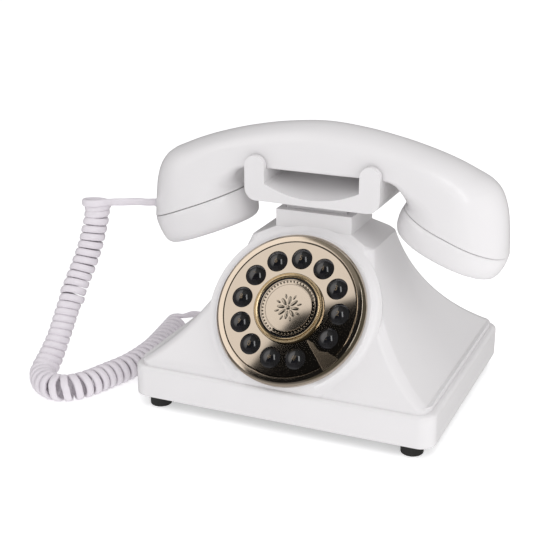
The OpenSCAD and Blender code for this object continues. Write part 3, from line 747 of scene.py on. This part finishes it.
def section_ring(top, bottom, half_width, upper_corner, lower_corner, shrink=0.0):
    """A rounded oblong between two points of the side view, all in mm."""
    high, low = Vector((top[0], 0, top[1])), Vector((bottom[0], 0, bottom[1]))
    middle, rise = (high + low) / 2, (high - low) / 2
    half_height, rise = rise.length - shrink, rise.normalized()
    half_width -= shrink
    ring = []
    for quarter, corner in enumerate((upper_corner, upper_corner, lower_corner, lower_corner)):
        tall_corner, wide_corner = (min(corner, half * NEARLY) for half in (half_height, half_width))
        sign_y, sign_z = ((1, 1), (-1, 1), (-1, -1), (1, -1))[quarter]
        for k in range(CORNER_STEPS + 1):
            turn = pi / 2 * (quarter + k / CORNER_STEPS)
            across = sign_y * (half_width - wide_corner) + wide_corner * cos(turn)
            height = sign_z * (half_height - tall_corner) + tall_corner * sin(turn)
            ring.append((middle + rise * height + Vector((0, across, 0))) * MM)
    return ring


def fine_sections(steps):
    """The side view's rows, with smooth rows between them."""
    rows, last = [], len(SECTIONS) - 1
    mirror = (-SECTIONS[1][0], SECTIONS[1][1], -SECTIONS[1][2]) + SECTIONS[1][3:]
    for i in range(last):
        near = (SECTIONS[i - 1] if i else mirror, SECTIONS[i], SECTIONS[i + 1],
                SECTIONS[min(i + 2, last)])
        rows += [[curve_point(*values, k / steps) for values in zip(*near)] for k in range(steps)]
    return rows + [list(SECTIONS[-1])]


def end_ring(shrink):
    """The section at the handset's end, drawn in by so many mm."""
    end = SECTIONS[-1]
    return section_ring(end[0:2], end[2:4], *end[4:7], shrink=shrink)


def make_handset_shell():
    """The arched shell: one half is lofted to its closed end, and the other one mirrors it."""
    half = [section_ring(row[0:2], row[2:4], *row[4:7]) for row in fine_sections(5)]
    for inset, raised in ((0.5, -0.15), (2.5, 0.8)):
        half.append([point + Vector((0, 0, raised * MM)) for point in end_ring(inset)])
    other = [[Vector((-p.x, p.y, p.z)) for p in ring] for ring in half[1:]]
    return smooth(lofted("handset_body", other[::-1] + half), 50)


# each row, in mm: how far under the shell's end, and how far drawn in
CAP_PROFILE = [(0.5, 2.6), (0.5, 0.5), (0.75, 0.1), (1.2, -0.2), (4, -0.5), (8, -0.4), (12, 0.2),
               (14.4, 0.9), (16.2, 2.0), (17.4, 3.6), (18.0, 5.5), (18.2, 7.6), (18.2, 11)]
CAP_LIP = 1.2  # rows past this depth are stretched in a deeper cap
SOUND_HOLES = ((1, 0.0), (6, 5.0), (12, 10.0))  # how many, and how far from the middle in mm


def make_cap(name, sign, deeper):
    """The cap that closes an end of the handset, with its sound holes."""
    end = SECTIONS[-1]
    lean = Vector((end[0] - end[2], 0, end[1] - end[3])).normalized()
    across, down = Vector((0, 1, 0)), Vector((lean.z, 0, -lean.x))
    rings = []
    for depth, inset in CAP_PROFILE:
        sunk = down * (depth * deeper if depth > CAP_LIP else depth) * MM
        rings.append([Vector((p.x * sign, p.y, p.z)) for p in [q + sunk for q in end_ring(inset)]])
    cap = smooth(lofted(name, rings), 50)
    face = (Vector((end[0], 0, end[1])) + Vector((end[2], 0, end[3]))) / 2
    face += down * CAP_PROFILE[-1][0] * deeper
    drills = []
    for count, radius in SOUND_HOLES:
        for turn in [2 * pi * k / count for k in range(count)]:
            spot = (face + (lean * cos(turn) + across * sin(turn)) * radius) * MM
            drills.append(added("drill", bpy.ops.mesh.primitive_cylinder_add, vertices=16,
                                radius=1.0 * MM, depth=3.2 * MM,
                                location=(spot.x * sign, spot.y, spot.z),
                                rotation=(0, atan2(down.x * sign, down.z), 0)))
    cut_out(cap, joined("drills", *drills))
    return smooth(cap, 50)


def make_handset():
    finish_piece(make_handset_shell(), "white_plastic", "handset", "handset_shell", "grip_cover")
    for name, sign, node, deeper in (("ear_end", 1, "earpiece_cap", 1.0),
                                     ("mouth_end", -1, "mouthpiece_cap", 1.2)):
        finish_piece(make_cap(name, sign, deeper), "white_plastic", "handset", node)


make_handset()

# ---------------------------------------------------------------- cradle

def make_cradle():
    """The pressed cradle: its dish is lowest along the front edge and rises under the grip."""
    piece = softened("cradle", 1.1 * MM, 4)
    half_x, half_y, floor_low, rise = 37 * MM, 25.5 * MM, 133.6 * MM, 13.4 * MM
    for vertex in piece.data.vertices:
        place = vertex.co
        if place.z > floor_low and abs(place.x) < half_x:
            place.z += rise * (1 - (place.x / half_x) ** 2) * (place.y + half_y) / (2 * half_y)
    coat(piece, "white_plastic")
    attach(piece, "cradle")


def make_small_parts():
    """Feet, sockets and the switch knob, with their moulded edges."""
    for body, node, width in (("base", "rubber_feet", 0.9), ("base", "line_jack", 0.2),
                              ("base", "base_handset_jack", 0.2), ("handset", "handset_jack", 0.2),
                              ("ringer_switch", "ringer_switch_knob", 0.4)):
        piece = softened(node, width * MM)
        coat(piece, SLOTS[node])
        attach(piece, body)


make_cradle()
make_small_parts()

# ---------------------------------------------------------------- dial

def make_dial():
    """The rim, the plate with a hole for each button, the raised centre ring and the finger stop."""
    rim = turned("dial_rim_turned", ring_outline([
        (43.1, -3), (47.6, -3), (48.2, -2.7), (48.5, -2.2), (48.5, -0.2), (48.4, 0.3), (48.0, 0.8),
        (46.7, 1.95), (46.3, 2.1), (43.5, 2.1), (43.15, 1.8), (43.1, 0.5)]), 192)
    finish_piece(placed(rim, dial_frame()), "antique_gold", "base", "dial_rim", finish="rim_metal")
    plate = turned("dial_plate_turned", ring_outline([
        (21.9, 0.5), (43.05, 0.5), (43.05, 1.5), (42.7, 1.95), (42.4, 2.0), (21.9, 2.0)]), 160)
    for index in range(len(BUTTONS)):
        cut_out(plate, added("hole", bpy.ops.mesh.primitive_cylinder_add, vertices=48,
                             radius=DOME_RADIUS + 0.15 * MM, depth=6 * MM, location=button_spot(index)))
    smooth(plate, 5)
    finish_piece(placed(plate, dial_frame()), "mirror_plate", "base", "dial_plate")
    ring = turned("centre_ring_turned", ring_outline([
        (19.1, 2), (22.3, 2), (22.3, 4.1), (22.15, 4.7), (21.75, 5.1), (21.35, 5.1), (21.1, 4.75),
        (20.85, 4.75), (20.6, 5.35), (20.1, 5.5), (19.6, 5.3), (19.15, 4.6)]), 128)
    finish_piece(placed(ring, dial_frame()), "antique_gold", "base", "centre_ring")
    stop = softened("finger_stop", 0.3 * MM, 2)
    # the stop's finish is the gold with painted shade in its colour
    coat(stop, "antique_gold", "stop_metal_painted_shade")
    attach(stop, "base")


def relief_lump(name, reach, turn, **settings):
    """One lump of the medallion's relief, at a distance in mm and a turn from its middle."""
    return added(name, bpy.ops.mesh.primitive_uv_sphere_add,
                 location=(reach * MM * cos(turn), reach * MM * sin(turn), RELIEF_LEVEL), **settings)


def make_medallion():
    """A polished disc with a beaded border and a plain rosette, inside a black ring."""
    black = turned("medallion_ring", ring_outline([
        (18.0, 2), (19.15, 2), (19.15, 4.5), (18.7, 4.3), (18.0, 3.4)]), 96)
    finish_piece(placed(black, dial_frame()), "button_black", "base")
    disc = turned("medallion_turned", ring_outline([
        (0, 4.0), (14.6, 4.0), (14.75, 4.25), (15.15, 4.25), (15.3, 4.0), (15.9, 3.9), (17.4, 3.9),
        (17.6, 4.25), (18.05, 4.2), (18.1, 3.4), (18.1, 2), (0, 2)])[:-1], 96)
    beads, petals = 48, 8
    lumps = [relief_lump("bead", 16.65, 2 * pi * k / beads, segments=10, ring_count=6, radius=0.62 * MM)
             for k in range(beads)]
    for reach, long, wide, first in ((4.6, 2.9, 1.15, 0.0), (7.4, 1.7, 0.7, pi / petals)):
        for turn in [first + 2 * pi * k / petals for k in range(petals)]:
            lumps.append(relief_lump("petal", reach, turn, segments=14, ring_count=8, radius=1 * MM,
                                     rotation=(0, 0, turn), scale=(long, wide, 0.42)))
    lumps.append(relief_lump("boss", 0, 0, segments=20, ring_count=10, radius=1.5 * MM,
                             scale=(1, 1, 0.4)))
    rosette = smooth(joined("medallion_relief", *lumps), 60)
    finish_piece(placed(disc, dial_frame()), "mirror_plate", "base", "medallion")
    finish_piece(placed(rosette, dial_frame()), "mirror_plate", "base", finish="relief_metal")


make_dial()
make_medallion()


def make_button(index, name, mark):
    """A glossy dome on its shank, with its figure under the gloss."""
    body, frame_here = "button_" + name, dial_frame() @ Matrix.Translation(button_spot(index))
    top, steps = PLATE_TOP + DOME_HEIGHT, 14
    ball = (DOME_RADIUS ** 2 + DOME_HEIGHT ** 2) / (2 * DOME_HEIGHT)
    edge = acos((ball - DOME_HEIGHT) / ball)
    outline = [(ball * sin(edge * k / steps), top - ball + ball * cos(edge * k / steps))
               for k in range(steps + 1)]
    flange_top, flange_low, shank_low, flange = -0.2 * MM, -0.8 * MM, -3 * MM, DOME_RADIUS + 0.5 * MM
    outline += [(DOME_RADIUS, flange_top), (flange, flange_top), (flange, flange_low),
                (SHANK_RADIUS, flange_low), (SHANK_RADIUS, shank_low), (0, shank_low)]
    dome = turned("dome_" + name, outline, 48)
    finish_piece(placed(dome, frame_here), "button_black", body, body)
    bpy.ops.object.select_all(action="DESELECT")
    bpy.ops.object.text_add(location=(0, 0, 0))
    text = bpy.context.object
    text.name = "figure_" + name
    text.data.body = mark
    text.data.size = (6.5 if name == "star" else 4.4) * MM
    text.data.align_x = text.data.align_y = "CENTER"
    bpy.ops.object.convert(target="MESH")
    figure = bpy.context.object
    low = [min(v.co[i] for v in figure.data.vertices) for i in range(2)]
    high = [max(v.co[i] for v in figure.data.vertices) for i in range(2)]
    for vertex in figure.data.vertices:
        x, y = [vertex.co[i] - (low[i] + high[i]) / 2 for i in range(2)]
        drop = ball - sqrt(ball * ball - x * x - y * y)
        vertex.co = (x, y, top - drop + 0.03 * MM)
    finish_piece(placed(figure, frame_here), "button_black", body, finish="figure_gold")


for index, (name, mark) in enumerate(BUTTONS):
    make_button(index, name, mark)

# ---------------------------------------------------------------- floor, light and surroundings

def make_floor():
    """A white table top under and round the object, which polished things don't see."""
    floor = added("floor", bpy.ops.mesh.primitive_plane_add, size=6, location=(0, 0, -0.1 * MM))
    finish = Finish("floor_white", Base_Color=rgb(0.84, 0.84, 0.845), Roughness=0.9,
                    Emission_Color=rgb(1, 1, 1), Emission_Strength=0.48)
    floor.data.materials.append(finish.material)
    floor.visible_glossy = False


def area_light(name, spot, target, size, power, glossy):
    bpy.ops.object.select_all(action="DESELECT")
    direction = Vector(target) - Vector(spot)
    bpy.ops.object.light_add(type="AREA", location=spot,
                             rotation=direction.to_track_quat("-Z", "Y").to_euler())
    light = bpy.context.object
    light.name = name
    light.data.shape = "RECTANGLE"
    light.data.size, light.data.size_y = size
    light.data.energy = power
    light.visible_glossy = glossy


def mirrored(across, up):
    """Where the dial's face looks, from the camera, at a spot on it in mm."""
    spot = dial_frame() @ Vector((across * MM, up * MM, PLATE_TOP))
    out = (dial_frame().to_3x3() @ Vector((0, 0, 1))).normalized()
    sight = (spot - CAMERA_SPOT).normalized()
    return sight - 2 * sight.dot(out) * out


def make_world():
    """Soft white surroundings; polished things see a light card up on the left in a dark studio."""
    world = bpy.data.worlds.new("studio")
    bpy.context.scene.world = world
    world.use_nodes = True
    studio = Tree(world.node_tree)
    background = studio.nodes["Background"]
    direction = studio.node("ShaderNodeTexCoord")

    def along(axis):
        """How far the direction points along an axis."""
        return studio.node("ShaderNodeVectorMath", {"operation": "DOT_PRODUCT"},
                           {0: direction, 1: tuple(axis)}, 1)

    def past(axis, start, steepness):
        """Rises from nought to one where the direction gets past start along an axis."""
        return ((along(axis) - start) * steepness).clipped()

    # the card's edges run through these spots of the dial's face, where their mirror image falls
    lit, dim, corner = mirrored(-30, 30), mirrored(30, -30), mirrored(5, -1.5)
    low_edge = mirrored(-18.8, -42.2).cross(corner).normalized()
    high_edge = corner.cross(mirrored(37.2, 13)).normalized()
    far_edge = mirrored(37, 12).cross(mirrored(29, 36)).normalized()
    low_edge, high_edge = [edge if edge.dot(dim) > 0 else -edge for edge in (low_edge, high_edge)]
    far_edge = far_edge if far_edge.dot(lit) < 0 else -far_edge
    shades = {"card": rgb(1.6, 1.54, 1.50), "card_far": rgb(0.20, 0.195, 0.19),
              "card_side": rgb(0.12, 0.115, 0.09), "dark": rgb(0.012, 0.012, 0.012),
              "table": rgb(0.55, 0.54, 0.54), "soft": rgb(0.66, 0.66, 0.665), "seen": rgb(1.1, 1.1, 1.1)}
    dark_side = past(low_edge, 0, 500) * past(high_edge, 0, 250) * past(mirrored(0, 0), 0.55, 4)
    card = studio.blend(past(mirrored(-20, 20), 0.62, 4), shades["card_far"], shades["card"])
    card = studio.blend(past(far_edge, 0, 25) * 0.85, card, shades["card_side"])
    card = studio.blend(dark_side, card, shades["dark"])
    card = studio.blend(past((0, 0, -1), 0.35, 4), card, shades["table"])
    glossy_ray = studio.node("ShaderNodeLightPath", output="Is Glossy Ray")
    camera_ray = studio.node("ShaderNodeLightPath", output="Is Camera Ray")
    colour = studio.blend(camera_ray, studio.blend(glossy_ray, shades["soft"], card), shades["seen"])
    studio.links.new(colour.socket, background.inputs["Color"])
    background.inputs["Strength"].default_value = 1.0


make_floor()
make_world()
# name, spot, target, size in metres, power in watts, and whether polished things see it
for light in (
        ("key_light", (-0.75, -0.85, 1.3), (0, 0, 0.05), (0.9, 0.9), 0.8, False),
        ("top_light", (0.1, -0.1, 1.5), (0, 0, 0.1), (1.2, 1.2), 3.0, False),
        ("front_fill", (0.45, -1.15, 0.48), (0.02, 0, 0.09), (0.7, 0.7), 1.9, False),
        ("right_fill", (1.15, -0.25, 0.55), (0.03, 0, 0.08), (0.9, 0.9), 3.3, False),
        ("right_strip", (0.42, -0.84, 0.90), (0, -0.058, 0.074), (0.2, 0.85), 2.0, True)):
    area_light(*light)

bpy.context.scene.view_settings.view_transform = "Standard"
